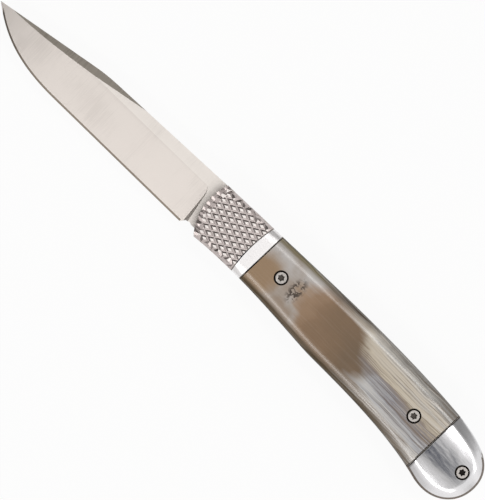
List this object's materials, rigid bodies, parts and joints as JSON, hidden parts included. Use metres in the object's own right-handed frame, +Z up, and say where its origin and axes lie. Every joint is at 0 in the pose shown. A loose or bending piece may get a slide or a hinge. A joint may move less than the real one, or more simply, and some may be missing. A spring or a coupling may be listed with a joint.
{
  "type": "folding knife",
  "caption": "Folding pocket knife with a spring-driven clip-point blade, knurled bolsters that hide the release, polished collars and end caps, and horn scales.",
  "frame": {"origin": "centre of the open knife's box, on the surface that it lies on, back scale down", "axes": "+X from the blade's tip to the butt, +Y from the cutting edge to the back, +Z up out of the front scale"},
  "size_m": [0.1964, 0.0238, 0.014],
  "materials": {
    "satin_steel": "satin",
    "knurled_steel": "fine satin on cut lozenges",
    "polished_steel": "mirror polish",
    "horn": "polished, mottled brown, grey and cream",
    "liner_steel": "ground",
    "spring_steel": "blued",
    "bronze": "rolled",
    "screw_steel": "turned and polished"
  },
  "bodies": {
    "handle": {"back_bolster": "knurled_steel", "front_collar": "polished_steel", "back_collar": "polished_steel", "front_end_bolster": "polished_steel", "back_end_bolster": "polished_steel", "front_scale": "horn", "back_scale": "horn", "front_liner": "liner_steel", "back_liner": "liner_steel", "backspacer": "liner_steel", "pivot_barrel": "screw_steel", "pivot_screw": "screw_steel", "stop_pin": "screw_steel", "front_washer": "bronze", "back_washer": "bronze", "drive_spring": "spring_steel", "lock_spring": "spring_steel", "return_spring": "spring_steel", "lock_stud": "screw_steel", "leaf_screws": "screw_steel", "locating_pins": "screw_steel", "spacer_pins": "screw_steel", "front_scale_screws": "screw_steel", "back_scale_screws": "screw_steel", "front_end_screw": "screw_steel", "back_end_screw": "screw_steel"},
    "blade": {"blade": "satin_steel"},
    "release": {"release_bolster": "knurled_steel", "guide_studs": "screw_steel"}
  },
  "joints": [
    {"name": "blade_fold", "type": "hinge", "parent": "handle", "child": "blade", "pos_m": [-0.00651, 0.00111, 0.007], "axis": [0, 0, 1], "range_deg": [0, 177.5], "deforming": ["drive_spring"]},
    {"name": "bolster_swing", "type": "hinge", "parent": "handle", "child": "release", "pos_m": [0.04845, 0.00171, 0.012], "axis": [0, 0, 1], "range_deg": [0, 2.3], "stiffness_Nm_per_rad": 10, "springref_deg": -0.57, "deforming": ["lock_spring", "lock_stud", "return_spring"]}
  ]
}
